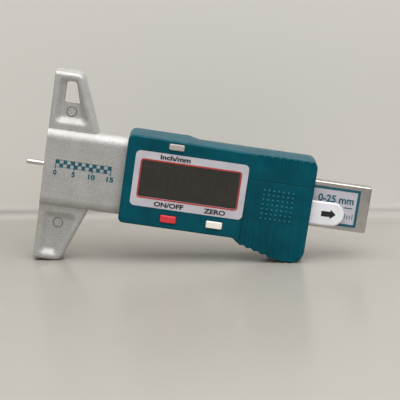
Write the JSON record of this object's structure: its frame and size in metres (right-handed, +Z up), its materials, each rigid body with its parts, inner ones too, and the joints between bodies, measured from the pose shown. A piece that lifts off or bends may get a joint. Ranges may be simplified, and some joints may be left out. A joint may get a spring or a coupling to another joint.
{
  "type": "tire tread depth gauge",
  "caption": "Digital tread depth gauge: T-shaped silver foot with a depth pin, teal head with display and push buttons, and a sliding beam whose tail comes out of the head.",
  "frame": {"origin": "axis of the depth rod, on the measuring face of the foot", "axes": "+X along the gauge, from the rod's tip to the tail; -Y is the side of the display; +Z is up when the display is read"},
  "size_m": [0.1082, 0.0145, 0.06],
  "materials": {
    "silver_paint": "satin silver paint with fine metal flake",
    "bright_steel": "ground and lightly brushed",
    "spring_steel": "rolled strip",
    "screw_steel": "zinc plated",
    "green_laminate": "solder mask over glass laminate",
    "label_film": "satin printed film",
    "teal_plastic": "teal moulded plastic with a fine metallic texture",
    "black_plastic": "moulded",
    "black_rubber": "conductive elastomer",
    "clear_plastic": "clear, polished",
    "display_glass": "dark liquid crystal display, switched off",
    "white_silicone": "moulded silicone",
    "white_film": "satin film",
    "grey_plastic": "moulded",
    "red_plastic": "moulded",
    "white_plastic": "moulded"
  },
  "bodies": {
    "gauge_body": {"foot_frame": "silver_paint", "front_housing": "teal_plastic", "back_housing": "teal_plastic", "guide_block": "black_plastic", "friction_spring": "spring_steel", "bezel_label": "label_film", "display_window": "clear_plastic", "lcd_panel": "display_glass", "display_connector": "black_rubber", "main_board": "green_laminate", "controller_chip": "black_plastic", "button_pads": "white_silicone", "battery_cell": "bright_steel", "contact_positive": "spring_steel", "contact_negative": "spring_steel", "stem_screws": "screw_steel", "housing_screws": "screw_steel", "board_screws": "screw_steel"},
    "beam": {"beam": "bright_steel", "scale_strip": "green_laminate", "beam_label": "label_film", "depth_rod": "bright_steel", "rod_clamp": "spring_steel", "clamp_screws": "screw_steel"},
    "battery_cover": {"battery_cover": "teal_plastic"},
    "pull_tab": {"pull_tab": "white_film"},
    "button_unit": {"button_unit": "grey_plastic"},
    "button_power": {"button_power": "red_plastic"},
    "button_zero": {"button_zero": "white_plastic"}
  },
  "joints": [
    {"name": "beam_slide", "type": "slide", "parent": "gauge_body", "child": "beam", "axis": [1, 0, 0], "range_m": [-0.01965, 0.00575]},
    {"name": "press_unit", "type": "slide", "parent": "gauge_body", "child": "button_unit", "axis": [0, 1, 0], "range_m": [0, 0.0004], "stiffness_N_per_m": 800, "springref_m": -0.0003},
    {"name": "press_power", "type": "slide", "parent": "gauge_body", "child": "button_power", "axis": [0, 1, 0], "range_m": [0, 0.0004], "stiffness_N_per_m": 800, "springref_m": -0.0003},
    {"name": "press_zero", "type": "slide", "parent": "gauge_body", "child": "button_zero", "axis": [0, 1, 0], "range_m": [0, 0.0004], "stiffness_N_per_m": 800, "springref_m": -0.0003},
    {"name": "cover_slide", "type": "slide", "parent": "gauge_body", "child": "battery_cover", "axis": [1, 0, 0], "range_m": [0, 0.024]},
    {"name": "tab_pull", "type": "slide", "parent": "gauge_body", "child": "pull_tab", "axis": [1, 0, 0], "range_m": [0, 0.02]}
  ]
}
